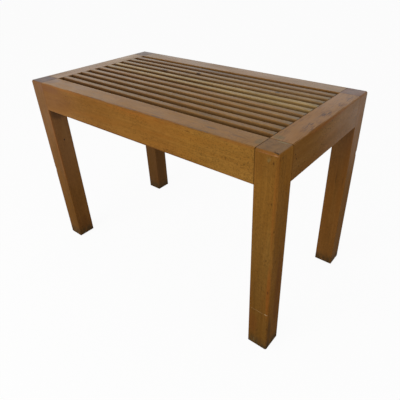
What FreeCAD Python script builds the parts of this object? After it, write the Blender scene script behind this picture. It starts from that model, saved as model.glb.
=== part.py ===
# A slatted hardwood bench: four square legs, four deep rails and a row of slim slats,
# held together by glued mortise and tenon joints, with one hidden batten under the slats.
# Sizes are millimetres. The origin is on the floor under the middle of the bench,
# +X runs along the bench, +Y from its front to its back and +Z up.

import FreeCAD
import Part
import os
from math import sqrt

# Overall size
bench_length = 676.0
bench_depth = 364.0
bench_height = 450.0

# Timber sections: legs and rails are planed to one thickness, so their faces are flush
stock_thickness = 44.0
rail_height = 66.0
slat_width = 13.0
slat_height = 25.0
slat_count = 10
batten_width = 34.0
batten_height = 16.0

# Rail tenons: set below the seat so that no mortise breaks through the top of a leg
rail_tenon_thickness = 14.0
rail_tenon_top_shoulder = 14.0
rail_tenon_bottom_shoulder = 8.0
rail_tenon_mitre_gap = 1.0

# Slat tenons, blind in the end rails
slat_tenon_length = 14.0
slat_tenon_side_shoulder = 3.0
slat_tenon_top_shoulder = 5.0
slat_tenon_bottom_shoulder = 4.0

# Batten tenons, blind in the long rails
batten_tenon_length = 12.0
batten_tenon_side_shoulder = 6.0
batten_tenon_face_shoulder = 3.0

# Room for glue round a tenon and beyond its end
glue_film = 0.1
glue_pocket = 1.0

# Countersunk screws, driven up through the batten into every slat
screw_bite = 12.0
screw_shank_diameter = 3.5
screw_head_diameter = 7.0
screw_head_height = 2.2
screw_point_length = 4.0
screw_slot_width = 0.9
screw_slot_depth = 1.2
screw_clearance = 0.05

# Worked edges: a soft round on the outer corners, a lighter one on the slats, and eased arrises
corner_round = 3.0
slat_round = 1.6
arris_round = 1.2
largest_share_of_wall = 0.45

# Places that follow from the sizes
half_length = bench_length / 2
half_depth = bench_depth / 2
clear_length = bench_length - 2 * stock_thickness
clear_depth = bench_depth - 2 * stock_thickness
rail_underside = bench_height - rail_height
slat_underside = bench_height - slat_height
batten_underside = slat_underside - batten_height
slat_gap = (clear_depth - slat_count * slat_width) / (slat_count + 1)
slat_pitch = slat_width + slat_gap
slat_middles = [slat_pitch * (place - (slat_count - 1) / 2) for place in range(slat_count)]

# Sections of the tenons, and how high they lie
rail_tenon_heights = (rail_underside + rail_tenon_bottom_shoulder, bench_height - rail_tenon_top_shoulder)
slat_tenon_heights = (slat_underside + slat_tenon_bottom_shoulder, bench_height - slat_tenon_top_shoulder)
slat_tenon_thickness = slat_width - 2 * slat_tenon_side_shoulder
batten_tenon_heights = (
    batten_underside + batten_tenon_face_shoulder,
    slat_underside - batten_tenon_face_shoulder,
)
batten_tenon_width = batten_width - 2 * batten_tenon_side_shoulder

UP = FreeCAD.Vector(0, 0, 1)
touching = 0.001


# Small helpers

def about(middle, width):
    """The limits of a width laid evenly about a middle."""
    return (middle - width / 2, middle + width / 2)


def grown(limits, margin):
    """Limits moved outwards by a margin at both ends."""
    return (limits[0] - margin, limits[1] + margin)


def block(x, y, z):
    """A box between limits along each axis."""
    size = [high - low for low, high in (x, y, z)]
    return Part.makeBox(*size, FreeCAD.Vector(x[0], y[0], z[0]))


def edges_at(shape, *places):
    """The edges that lie wholly at one of the places, each given as coordinates by axis."""
    found = []
    for edge in shape.Edges:
        box = edge.BoundBox
        limits = {"x": (box.XMin, box.XMax), "y": (box.YMin, box.YMax), "z": (box.ZMin, box.ZMax)}
        for place in places:
            offsets = [abs(limit - place[axis]) for axis in place for limit in limits[axis]]
            if max(offsets) < touching:
                found.append(edge)
                break
    return found


def rounded(shape, radius, wall, *places):
    """A shape with the edges at some places rounded, by no more than the wall can give."""
    return shape.makeFillet(min(radius, largest_share_of_wall * wall), edges_at(shape, *places))


def put(shape, quarter_turns, x, y):
    """A piece drawn about the origin, turned about the upright axis and moved to its place."""
    placed = shape.copy()
    placed.rotate(FreeCAD.Vector(), UP, 90 * quarter_turns)
    placed.translate(FreeCAD.Vector(x, y, 0))
    return placed


# Legs, drawn with the outer corner on the upright axis and the two rails leaving along +X and +Y

def leg():
    """A square post with an L-shaped mortise for the two rails that meet in it."""
    side = (0, stock_thickness)
    post = block(side, side, (0, bench_height))
    outer = ({"x": 0, "y": 0}, {"x": 0, "z": bench_height}, {"y": 0, "z": bench_height})
    post = rounded(post, corner_round, stock_thickness, *outer)
    joint_and_foot = ({"x": stock_thickness}, {"y": stock_thickness}, {"z": 0})
    post = rounded(post, arris_round, stock_thickness, *joint_and_foot)
    deepest = (stock_thickness - rail_tenon_thickness) / 2 - glue_pocket
    along = (deepest, stock_thickness)
    across = grown(about(stock_thickness / 2, rail_tenon_thickness), glue_film)
    heights = grown(rail_tenon_heights, glue_film)
    return post.cut(block(along, across, heights).fuse(block(across, along, heights)))


# Rails, drawn along X about the middle with the outer face at Y 0 and the inner face behind it

def rail(shoulder_length):
    """A rail that is flush with its legs outside and on top, with a mitred tenon at each end."""
    along = about(0, shoulder_length)
    body = block(along, (0, stock_thickness), (rail_underside, bench_height))
    wall = min(stock_thickness, rail_height)
    body = rounded(body, corner_round, wall, {"y": 0, "z": bench_height})
    arrises = (
        {"y": stock_thickness, "z": bench_height},
        {"y": stock_thickness, "z": rail_underside},
        {"y": 0, "z": rail_underside},
    )
    body = rounded(body, arris_round, wall, *arrises)
    return body.fuse([rail_tenon(shoulder_length / 2, side) for side in (-1, 1)])


def rail_tenon(shoulder, side):
    """A tenon in the middle of the thickness, cut at 45 degrees to meet its neighbour inside the leg."""
    outer_cheek, inner_cheek = about(stock_thickness / 2, rail_tenon_thickness)
    cut_back = rail_tenon_mitre_gap / sqrt(2)
    outline = [
        (shoulder, outer_cheek),
        (shoulder + stock_thickness - outer_cheek - cut_back, outer_cheek),
        (shoulder + stock_thickness - inner_cheek - cut_back, inner_cheek),
        (shoulder, inner_cheek),
    ]
    bottom, top = rail_tenon_heights
    points = [FreeCAD.Vector(side * along, across, bottom) for along, across in outline]
    return Part.Face(Part.makePolygon(points + points[:1])).extrude(UP * (top - bottom))


def inner_mortise(middle, width, heights, depth):
    """A blind mortise in the inner face of a rail, with room for glue."""
    bottom = stock_thickness - depth - glue_pocket
    opening = grown(about(middle, width), glue_film)
    return block(opening, (bottom, stock_thickness), grown(heights, glue_film))


def long_rail():
    """A front or back rail, with a mortise for the end of the batten."""
    return rail(clear_length).cut(
        inner_mortise(0, batten_tenon_width, batten_tenon_heights, batten_tenon_length)
    )


def end_rail():
    """A left or right rail, with a mortise for the end of every slat."""
    mortises = [
        inner_mortise(middle, slat_tenon_thickness, slat_tenon_heights, slat_tenon_length)
        for middle in slat_middles
    ]
    return rail(clear_depth).cut(mortises)


# The seat, drawn in place

def slat(middle):
    """One slat, set on edge, with a stub tenon at each end and a pilot hole for its screw."""
    front, back = about(middle, slat_width)
    body = block(about(0, clear_length), (front, back), (slat_underside, bench_height))
    wall = min(slat_width, slat_height)
    top_edges = [{"y": side, "z": bench_height} for side in (front, back)]
    body = rounded(body, slat_round, wall, *top_edges)
    lower_edges = [{"y": side, "z": slat_underside} for side in (front, back)]
    body = rounded(body, arris_round, wall, *lower_edges)
    reach = about(0, clear_length + 2 * slat_tenon_length)
    tenons = block(reach, about(middle, slat_tenon_thickness), slat_tenon_heights)
    return body.fuse(tenons).cut(screw_blank(middle, screw_clearance))


def batten():
    """The cross batten that ties the slats together at mid-span."""
    left, right = about(0, batten_width)
    body = block((left, right), about(0, clear_depth), (batten_underside, slat_underside))
    lower_edges = [{"x": side, "z": batten_underside} for side in (left, right)]
    body = rounded(body, arris_round, min(batten_width, batten_height), *lower_edges)
    reach = about(0, clear_depth + 2 * batten_tenon_length)
    tenons = block(about(0, batten_tenon_width), reach, batten_tenon_heights)
    return body.fuse(tenons).cut([screw_blank(middle, screw_clearance) for middle in slat_middles])


def screw_blank(middle, margin):
    """A countersunk screw before its slot is cut, head down and flush below, larger all round by a margin."""
    shank = screw_shank_diameter / 2 + margin
    head = screw_head_diameter / 2 + margin
    length = batten_height + screw_bite
    outline = [
        (0, 0),
        (head, 0),
        (shank, screw_head_height),
        (shank, length - screw_point_length),
        (0, length + margin),
    ]
    points = [FreeCAD.Vector(radius, middle, batten_underside + height) for radius, height in outline]
    profile = Part.Face(Part.makePolygon(points + points[:1]))
    return profile.revolve(FreeCAD.Vector(0, middle, 0), UP, 360)


def screw(middle):
    """One slotted screw."""
    slot_heights = (batten_underside, batten_underside + screw_slot_depth)
    slot = block(about(0, screw_head_diameter), about(middle, screw_slot_width), slot_heights)
    return screw_blank(middle, 0).cut(slot)


# All the pieces by name

pieces = {
    "front_left_leg": put(leg(), 0, -half_length, -half_depth),
    "front_right_leg": put(leg(), 1, half_length, -half_depth),
    "back_right_leg": put(leg(), 2, half_length, half_depth),
    "back_left_leg": put(leg(), 3, -half_length, half_depth),
    "front_rail": put(long_rail(), 0, 0, -half_depth),
    "right_end_rail": put(end_rail(), 1, half_length, 0),
    "back_rail": put(long_rail(), 2, 0, half_depth),
    "left_end_rail": put(end_rail(), 3, -half_length, 0),
    "centre_batten": batten(),
    "batten_screws": Part.makeCompound([screw(middle) for middle in slat_middles]),
}
for number, middle in enumerate(slat_middles, start=1):
    pieces[f"slat_{number:02d}"] = slat(middle)

os.makedirs("parts", exist_ok=True)
for name, shape in pieces.items():
    shape.exportStep(f"parts/{name}.step")
    print(f"{name}: {len(shape.Solids)} solid, {shape.Volume / 1000:.1f} cm3, valid {shape.isValid()}")
print(f"gap between slats {slat_gap:.2f} mm")
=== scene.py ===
# %% [markdown]
# # A slatted hardwood bench
# A small bench stands on four square legs. Deep rails join the legs at the top, and slim slats
# fill the frame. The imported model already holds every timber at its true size, joints included.
# This lesson puts a worn, varnished timber in the place of each plain solid, gives it a hardwood
# finish, and lights it for a photograph. The frame comes first, because each new timber takes its
# size and place from the solid that it stands for.

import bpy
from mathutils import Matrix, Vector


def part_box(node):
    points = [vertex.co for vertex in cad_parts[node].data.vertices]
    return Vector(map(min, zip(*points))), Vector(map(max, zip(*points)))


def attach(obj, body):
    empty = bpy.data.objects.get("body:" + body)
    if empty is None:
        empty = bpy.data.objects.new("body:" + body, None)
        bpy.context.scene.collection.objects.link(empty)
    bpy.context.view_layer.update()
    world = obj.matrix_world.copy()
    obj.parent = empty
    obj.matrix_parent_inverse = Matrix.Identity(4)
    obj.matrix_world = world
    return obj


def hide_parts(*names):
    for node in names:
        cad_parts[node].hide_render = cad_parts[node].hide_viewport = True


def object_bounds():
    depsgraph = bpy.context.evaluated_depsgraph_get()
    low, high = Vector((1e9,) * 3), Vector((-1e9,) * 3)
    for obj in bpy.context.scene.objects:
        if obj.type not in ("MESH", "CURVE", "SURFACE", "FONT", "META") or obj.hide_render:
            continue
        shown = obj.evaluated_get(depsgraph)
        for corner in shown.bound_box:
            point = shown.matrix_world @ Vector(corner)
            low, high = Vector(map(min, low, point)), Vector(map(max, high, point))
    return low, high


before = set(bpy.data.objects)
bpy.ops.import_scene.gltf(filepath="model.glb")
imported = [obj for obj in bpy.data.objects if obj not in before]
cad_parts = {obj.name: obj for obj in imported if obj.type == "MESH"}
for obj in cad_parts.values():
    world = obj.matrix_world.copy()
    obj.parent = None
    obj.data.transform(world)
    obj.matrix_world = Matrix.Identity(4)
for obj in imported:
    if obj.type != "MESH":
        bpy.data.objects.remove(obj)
cad_low, cad_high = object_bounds()
print("solids:", len(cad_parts), "box:", cad_low, cad_high)

# %% [markdown]
# ## The view
# The photograph was taken from a little above the seat, off the front right corner, with a short
# lens. A camera can be placed by eye, or worked out from corners whose real places are known.
# This one was worked out: the lens is given by its length in pixels of the photograph, and the
# point where its axis meets the picture is a little off the middle, which is what the camera's
# shift is for. The photographer held it slightly tilted.

# %% Camera
import bpy
from math import radians
from mathutils import Quaternion, Vector

picture_side = 400
focal_length_pixels = 384.63
axis_in_picture = (220.14, 188.53)
camera_place = Vector((0.5774, -0.6284, 0.7040))
camera_aim = Vector((0.0995, -0.0202, 0.2250))
camera_roll = radians(-1.08)

bpy.ops.object.camera_add(location=camera_place)
camera = bpy.context.object
camera.name = "photo_camera"
camera.rotation_mode = "QUATERNION"
level_turn = (camera_aim - camera_place).to_track_quat("-Z", "Y")
camera.rotation_quaternion = level_turn @ Quaternion((0, 0, 1), camera_roll)
camera.data.lens = camera.data.sensor_width * focal_length_pixels / picture_side
camera.data.shift_x = 0.5 - axis_in_picture[0] / picture_side
camera.data.shift_y = axis_in_picture[1] / picture_side - 0.5
bpy.context.scene.camera = camera
print("lens:", round(camera.data.lens, 2), "mm")

# %% [markdown]
# ## Modelling by hand, in code
# By hand, each timber would start as a cube that is scaled to size, and then be shaped in edit
# mode: pick some edges, bevel them, pick a face, extrude it. The same operators work from a
# script. What a hand does with the mouse, choosing what to work on, is done here by a test on
# where a face or an edge lies. The new cube's place goes into its mesh, so every finished piece
# sits at the origin like the solids do.

# %% Helpers for modelling
import bmesh

X, Y, Z = 0, 1, 2
lowest_corner, highest_corner = 0, 6
hair = 0.00001
mostly = 0.9


def apply_place():
    """Puts the place, turn and scale of what is selected into its mesh."""
    bpy.ops.object.transform_apply(location=True, rotation=True, scale=True)


def start_block(name, low, high):
    """A cube primitive between two corners, active and alone in the selection."""
    bpy.ops.object.select_all(action="DESELECT")
    bpy.ops.mesh.primitive_cube_add(size=1, location=(low + high) / 2, scale=high - low)
    apply_place()
    bpy.context.object.name = name
    return bpy.context.object


def choose(piece):
    """Makes a piece the only one that operators act on."""
    bpy.ops.object.select_all(action="DESELECT")
    piece.select_set(True)
    bpy.context.view_layer.objects.active = piece


def pick(kind, test):
    """Selects in edit mode: points by place, edges by both ends, faces by middle and normal."""
    bpy.ops.object.mode_set(mode="EDIT")
    bpy.ops.mesh.select_mode(type=kind)
    bpy.ops.mesh.select_all(action="DESELECT")
    mesh = bpy.context.object.data
    shape = bmesh.from_edit_mesh(mesh)
    if kind == "VERT":
        found = [point for point in shape.verts if test(point.co)]
    elif kind == "EDGE":
        found = [edge for edge in shape.edges if test(*(end.co for end in edge.verts))]
    else:
        found = [face for face in shape.faces if test(face.calc_center_median(), face.normal)]
    for item in found:
        item.select_set(True)
    bmesh.update_edit_mesh(mesh)
    return len(found)


def leave_edit_mode():
    bpy.ops.object.mode_set(mode="OBJECT")


def both_at(a, b, axis, place):
    """Whether both ends of an edge lie at one place along an axis."""
    return abs(a[axis] - place) < hair and abs(b[axis] - place) < hair


# %% [markdown]
# ## Sizes
# The sizes come from the solids' boxes: how thick a leg is, where the rails' shoulders meet the
# legs, how high the slats lie. Only what a box can't tell is written here, which is the joints
# inside the wood and how round the edges were sanded.

# %% Sizes of the timbers
leg_low, leg_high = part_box("front_left_leg")
front_low, front_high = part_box("front_rail")
slat_low, slat_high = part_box("slat_01")
stock = leg_high.x - leg_low.x
clear_length = -2 * leg_high.x
clear_depth = -2 * leg_high.y
seat_top = leg_high.z
slat_nodes = sorted(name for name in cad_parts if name.startswith("slat_"))

corner_round = 0.003
slat_round = 0.0016
arris_round = 0.0012
round_segments = 5
arris_segments = 3
slat_arris_segments = 2
rail_tenon_thickness = 0.014
rail_shoulder_below, rail_shoulder_above = 0.008, 0.014
rail_tenon_heights = (front_low.z + rail_shoulder_below, seat_top - rail_shoulder_above)
slat_tenon_thickness = 0.007
slat_shoulder_below, slat_shoulder_above = 0.004, 0.005
slat_tenon_heights = (slat_low.z + slat_shoulder_below, seat_top - slat_shoulder_above)
ring_spacing = 0.007
print("stock", round(stock, 4), "clear", round(clear_length, 4), "by", round(clear_depth, 4))

# %% [markdown]
# ## Legs
# A leg is a square post. Its three outer edges are rounded most, because they are what a hand, a
# leg or a passer-by touches. The edges that meet a rail, and those of the foot, were only eased
# with a stroke of sandpaper, which is what draws the fine seam round every joint. The post could
# also be an extruded outline, but a bevel on picked edges gives both rounds and their corners in
# two steps. Cutting the long edges into short stretches at the end gives the wear something to
# move.

# %% Leg


def round_edges(test, radius, segments):
    """Bevels the edges that pass a test."""
    pick("EDGE", test)
    bpy.ops.mesh.bevel(offset=radius, segments=segments, affect="EDGES")


def cut_into_stretches(test, length):
    """Divides long edges into short stretches, and leaves edit mode."""
    pick("EDGE", test)
    bpy.ops.mesh.subdivide(number_cuts=round(length / ring_spacing) - 1)
    leave_edit_mode()


def model_leg():
    piece = start_block("worn_front_left_leg", leg_low, leg_high)
    outer_sides = ((X, leg_low.x), (Y, leg_low.y), (Z, seat_top))
    other_sides = ((X, leg_high.x), (Y, leg_high.y), (Z, leg_low.z))

    def outer(a, b):
        return sum(both_at(a, b, *side) for side in outer_sides) == 2

    def joint_or_foot(a, b):
        return any(both_at(a, b, *side) for side in other_sides)

    round_edges(outer, corner_round, round_segments)
    round_edges(joint_or_foot, arris_round, arris_segments)
    cut_into_stretches(lambda a, b: abs(a.z - b.z) > seat_top / 2, seat_top)
    return piece


legs = {"front_left_leg": model_leg()}
print("leg:", len(legs["front_left_leg"].data.polygons), "faces")

# %% [markdown]
# ## Rails
# A rail runs between two legs, flush with them outside and on top. At each end a tenon goes into
# the leg. By hand, the end face is extruded in place, scaled to the tenon's section, and extruded
# again by the tenon's length. Two tenons meet inside each leg, so their tips are cut at 45
# degrees: the points of the inner cheek slide back. All four rails are drawn where the front rail
# is, at their own lengths, and are turned to their places later.

# %% Rail


def grow_tenon(side, thickness, heights, length):
    """Extrudes a tenon from the end face of the active block, centred in its thickness."""
    box = bpy.context.object.bound_box
    low, high = Vector(box[lowest_corner]), Vector(box[highest_corner])
    pick("FACE", lambda middle, normal: normal.x * side > mostly)
    bpy.ops.mesh.extrude_region_move()
    section = (1, thickness / (high.y - low.y), (heights[1] - heights[0]) / (high.z - low.z))
    bpy.ops.transform.resize(value=section)
    bpy.ops.transform.translate(value=(0, 0, (sum(heights) - (low.z + high.z)) / 2))
    bpy.ops.mesh.extrude_region_move(TRANSFORM_OT_translate={"value": (side * length, 0, 0)})
    leave_edit_mode()


def model_rail(name, length):
    low = Vector((-length / 2, front_low.y, front_low.z))
    high = Vector((length / 2, front_high.y, seat_top))
    piece = start_block(name, low, high)
    tenon_length = leg_high.x - front_low.x
    inner_cheek = (low.y + high.y + rail_tenon_thickness) / 2
    for side in (-1, 1):
        grow_tenon(side, rail_tenon_thickness, rail_tenon_heights, tenon_length)
        tip = side * (length / 2 + tenon_length)
        pick("VERT", lambda point: max(abs(point.x - tip), abs(point.y - inner_cheek)) < hair)
        bpy.ops.transform.translate(value=(-side * rail_tenon_thickness, 0, 0))

    def runs_along(a, b):
        return abs(a.x - b.x) > length * mostly

    def at_corner(a, b, y, z):
        return runs_along(a, b) and both_at(a, b, Y, y) and both_at(a, b, Z, z)

    def arris(a, b):
        corners = ((high.y, high.z), (high.y, low.z), (low.y, low.z))
        return any(at_corner(a, b, y, z) for y, z in corners)

    round_edges(lambda a, b: at_corner(a, b, low.y, high.z), corner_round, round_segments)
    round_edges(arris, arris_round, arris_segments)
    cut_into_stretches(runs_along, length)
    return piece


rails = {
    "front_rail": model_rail("worn_front_rail", clear_length),
    "right_end_rail": model_rail("worn_right_end_rail", clear_depth),
}
print("rails:", [len(piece.data.polygons) for piece in rails.values()], "faces")

# %% [markdown]
# ## Slats
# A slat is a thin strip on edge, with a stub tenon at each end. Its top edges are well rounded,
# because people sit on them. One slat is modelled and the others are copies, each with its own
# mesh.

# %% Slat


def model_slat():
    low = Vector((-clear_length / 2, slat_low.y, slat_low.z))
    high = Vector((clear_length / 2, slat_high.y, seat_top))
    piece = start_block("worn_slat_01", low, high)
    for side in (-1, 1):
        grow_tenon(side, slat_tenon_thickness, slat_tenon_heights, slat_high.x - high.x)

    def runs_along(a, b):
        return abs(a.x - b.x) > clear_length * mostly

    def runs_at(height):
        return lambda a, b: runs_along(a, b) and both_at(a, b, Z, height)

    round_edges(runs_at(high.z), slat_round, round_segments)
    round_edges(runs_at(low.z), arris_round, slat_arris_segments)
    cut_into_stretches(runs_along, clear_length)
    return piece


slats = {"slat_01": model_slat()}
print("slat:", len(slats["slat_01"].data.polygons), "faces")

# %% [markdown]
# ## Mortises
# Every tenon needs its hole. Two tenons meet in each leg, the end rails hold one for every slat,
# and the long rails hold the ends of the batten that ties the slats together. Nobody sees the
# holes in the finished bench, but each piece is kept by itself too. A hole could be inset and
# pushed in, but a Boolean with a block of the tenon's section cuts across the stretches of the
# face without a thought. The block is a glue film larger all round, and deeper by a glue pocket.
# All of it is cut before the pieces are copied.

# %% Mortises in the legs
overshoot = 0.002
glue_film = 0.0001
glue_pocket = 0.001


def cut(piece, cutter):
    """Takes the cutter's shape out of a piece, and throws the cutter away."""
    choose(piece)
    carving = piece.modifiers.new("mortise", "BOOLEAN")
    carving.operation = "DIFFERENCE"
    carving.object = cutter
    bpy.ops.object.modifier_apply(modifier=carving.name)
    bpy.data.objects.remove(cutter)


def hole_block(name, x, y, z):
    """A cutter between limits along each axis, with its glue film."""
    low, high = (Vector((x[end], y[end], z[end])) for end in (0, 1))
    film = Vector((glue_film, glue_film, glue_film))
    return start_block(name, low - film, high + film)


def around_middle(middle, width):
    """The limits of a width about its middle."""
    return (middle - width / 2, middle + width / 2)


tenon_start = (stock - rail_tenon_thickness) / 2
for run, across in ((X, Y), (Y, X)):
    limits = [None, None, rail_tenon_heights]
    limits[run] = (leg_low[run] + tenon_start - glue_pocket, leg_high[run] + overshoot)
    limits[across] = (leg_low[across] + tenon_start, leg_high[across] - tenon_start)
    cut(legs["front_left_leg"], hole_block("leg_mortise", *limits))
print("leg:", len(legs["front_left_leg"].data.polygons), "faces with its mortises")

# %% [markdown]
# The slats' mortises are a row. One block is repeated by an Array modifier at the slats' own
# spacing, and the whole row is cut at once. The batten needs one hole in each long rail.

# %% Mortises in the rails
batten_low, batten_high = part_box("centre_batten")
batten_tenon_width = 0.022
batten_shoulder = 0.003
batten_tenon_heights = (batten_low.z + batten_shoulder, batten_high.z - batten_shoulder)
slat_middle = (slat_low.y + slat_high.y) / 2
slat_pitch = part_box(slat_nodes[1])[0].y - slat_low.y
slat_tenon_length = slat_high.x - clear_length / 2
inner_face = front_high.y

slat_holes = hole_block(
    "slat_mortises",
    around_middle(slat_middle, slat_tenon_thickness),
    (inner_face - slat_tenon_length - glue_pocket, inner_face + overshoot),
    slat_tenon_heights,
)
row = slat_holes.modifiers.new("row", "ARRAY")
row.count = len(slat_nodes)
row.use_relative_offset = False
row.use_constant_offset = True
row.constant_offset_displace = (slat_pitch, 0, 0)
bpy.ops.object.modifier_apply(modifier=row.name)
cut(rails["right_end_rail"], slat_holes)

batten_hole = hole_block(
    "batten_mortise",
    around_middle(0, batten_tenon_width),
    (batten_low.y - glue_pocket, inner_face + overshoot),
    batten_tenon_heights,
)
cut(rails["front_rail"], batten_hole)
print("rails:", [len(piece.data.polygons) for piece in rails.values()], "faces with mortises")

# %% [markdown]
# ## Screw holes
# One screw comes up through the batten into the middle of each slat. Its hole is a thin drill
# with a pointed tip: a short cylinder whose upper end is extruded and drawn to a point.

# %% Screw hole
pilot_radius = 0.0018
pilot_depth = 0.008
pilot_point = 0.004
pilot_sides = 16

bpy.ops.object.select_all(action="DESELECT")
drill_length = pilot_depth + overshoot
bpy.ops.mesh.primitive_cylinder_add(
    vertices=pilot_sides,
    radius=pilot_radius,
    depth=drill_length,
    location=(0, slat_middle, slat_low.z + pilot_depth - drill_length / 2),
)
apply_place()
drill = bpy.context.object
pick("FACE", lambda middle, normal: normal.z > mostly)
bpy.ops.mesh.extrude_region_move(TRANSFORM_OT_translate={"value": (0, 0, pilot_point)})
bpy.ops.mesh.merge(type="CENTER")
leave_edit_mode()
cut(slats["slat_01"], drill)
print("slat:", len(slats["slat_01"].data.polygons), "faces with its screw hole")

# %% [markdown]
# ## Copies in their places
# The legs are one post turned by quarter turns, and each rail is turned to its side of the bench.
# A turned copy is moved so that its box matches the box of the solid that it stands for, and then
# its place is applied.

# %% Copies
quarter = radians(90)


def place_as(piece, node, quarter_turns):
    """Turns a piece and moves it onto the solid's box, with its place in the mesh."""
    choose(piece)
    piece.rotation_euler.z = quarter_turns * quarter
    apply_place()
    piece.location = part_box(node)[0] - Vector(piece.bound_box[lowest_corner])
    apply_place()


def copy_as(piece, node, quarter_turns=0):
    """A copy of a piece with its own mesh, in the place of a solid."""
    choose(piece)
    bpy.ops.object.duplicate(linked=False)
    copied = bpy.context.object
    copied.name = f"worn_{node}"
    place_as(copied, node, quarter_turns)
    return copied


for quarter_turns, node in enumerate(("front_right_leg", "back_right_leg", "back_left_leg"), 1):
    legs[node] = copy_as(legs["front_left_leg"], node, quarter_turns)
rails["back_rail"] = copy_as(rails["front_rail"], "back_rail", 2)
place_as(rails["right_end_rail"], "right_end_rail", 1)
rails["left_end_rail"] = copy_as(rails["right_end_rail"], "left_end_rail", 2)
for node in slat_nodes[1:]:
    slats[node] = copy_as(slats["slat_01"], node)
timbers = {**legs, **rails, **slats}
print("timbers:", len(timbers))

# %% [markdown]
# ## Worn edges
# Years of use leave no edge quite straight. Hands and cloth take off most where they touch most,
# and the rest stays as it left the plane. By hand this is sculpting. Here the points inside each
# rounded edge form a vertex group, and a Displace modifier sinks them by a soft noise, so the
# flat faces stay flat and nothing grows past its size. The noise is read at each point's own
# place, so no two copies wear alike.

# %% Worn edges
wear_length = 0.03
leg_and_rail_wear = 0.0011
slat_wear = 0.0006

clouds = bpy.data.textures.new("wear", "CLOUDS")
clouds.noise_scale = wear_length


def wear_edges(piece, low, high, rounding, depth):
    """Sinks the points inside the rounded upright and top edges of a box, up to a depth."""

    def inside_round(point):
        from_sides = [min(point[axis] - low[axis], high[axis] - point[axis]) for axis in (X, Y)]
        return sum(away < rounding - hair for away in (*from_sides, high.z - point.z)) >= 2

    choose(piece)
    bpy.ops.object.vertex_group_add()
    found = pick("VERT", inside_round)
    bpy.ops.object.vertex_group_assign()
    leave_edit_mode()
    sinking = piece.modifiers.new("wear", "DISPLACE")
    sinking.texture = clouds
    sinking.texture_coords = "LOCAL"
    sinking.vertex_group = piece.vertex_groups[-1].name
    sinking.mid_level = 0
    sinking.strength = -depth
    bpy.ops.object.modifier_apply(modifier=sinking.name)
    bpy.ops.object.vertex_group_remove(all=True)
    return found


worn_points = 0
for piece in (*legs.values(), *rails.values()):
    worn_points += wear_edges(piece, cad_low, cad_high, corner_round, leg_and_rail_wear)
for node, piece in slats.items():
    worn_points += wear_edges(piece, *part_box(node), slat_round, slat_wear)
print("worn points:", worn_points)

# %% [markdown]
# ## Knocks
# A few knocks are larger. A dent is one point pushed in with proportional editing, which takes
# its neighbours along. Each row gives the timber, the place of the knock and how far it pushed.

# %% Dents
knocks = [
    ("front_right_leg", (0.338, -0.182, 0.161), (-0.0007, 0.0007, 0)),
    ("front_right_leg", (0.338, -0.182, 0.359), (-0.0005, 0.0005, 0)),
    ("front_left_leg", (-0.338, -0.182, 0.21), (0.0007, 0.0007, 0)),
    ("front_rail", (0.155, -0.182, 0.45), (0, 0.0006, -0.0008)),
    ("front_rail", (-0.118, -0.182, 0.45), (0, 0.0006, -0.0006)),
    ("right_end_rail", (0.338, 0.052, 0.45), (-0.0007, 0, -0.0006)),
    ("right_end_rail", (0.338, -0.061, 0.45), (-0.0005, 0, -0.0006)),
    ("back_right_leg", (0.338, 0.182, 0.31), (-0.0008, -0.0008, 0)),
]
knock_reach = 0.009


def nearest(piece, place):
    """The point of a piece that is nearest to a place."""
    points = (point.co for point in piece.data.vertices)
    return min(points, key=lambda point: (point - Vector(place)).length).copy()


for node, place, push in knocks:
    spot = nearest(timbers[node], place)
    choose(timbers[node])
    pick("VERT", lambda point: (point - spot).length < hair)
    bpy.ops.transform.translate(
        value=push,
        use_proportional_edit=True,
        proportional_edit_falloff="SMOOTH",
        proportional_size=knock_reach,
    )
    leave_edit_mode()
print("knocks:", len(knocks))

# %% [markdown]
# ## A splinter
# The nearest top corner lost a splinter, which is cut out by a thin wedge: a block turned into
# the line of the splinter, and leant over so that the cut runs out.

# %% Splinter
splinter_length = 0.011
splinter_width = 0.0016
splinter_depth = 0.0012
splinter_place = Vector((0.3311, -0.1788, 0.45))
splinter_turn = (radians(24), radians(5), radians(-22))

half_splinter = Vector((splinter_length / 2, splinter_width / 2, splinter_depth))
splinter = start_block("splinter", -half_splinter, half_splinter)
splinter.rotation_euler = splinter_turn
splinter.location = splinter_place
apply_place()
cut(timbers["front_right_leg"], splinter)
print("leg:", len(timbers["front_right_leg"].data.polygons), "faces without its splinter")

# %% [markdown]
# ## Hand the pieces to the frame
# Nothing on this bench moves, so every piece rides on the one body, called root. Each stands for
# its solid, which is hidden. Last, the faces are shaded: smooth over the rounds and flat on the
# flats, which a Weighted Normal modifier sees to.

# %% Ride and replace
smooth_angle = radians(40)
wood_slots = {"leg": "leg_wood", "rail": "rail_wood", "slat": "slat_wood"}
for node, piece in timbers.items():
    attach(piece, "root")
    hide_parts(node)
    kind = next(word for word in wood_slots if word in node)
    choose(piece)
    bpy.ops.object.shade_smooth_by_angle(angle=smooth_angle)
    even = piece.modifiers.new("even_faces", "WEIGHTED_NORMAL")
    even.keep_sharp = True
    bpy.ops.object.modifier_apply(modifier=even.name)
print("faces in all:", sum(len(piece.data.polygons) for piece in timbers.values()))

# %% [markdown]
# ## Writing a finish as a sum
# In the shader editor a finish is a web of nodes. In a script it is easier to read as a sum, such
# as the grain plus half of the pores. This class wraps one output of a node. Adding or
# multiplying two of them adds a Math node behind the scenes, and every other kind of node comes
# from one method.

# %% Values of a finish


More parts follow.
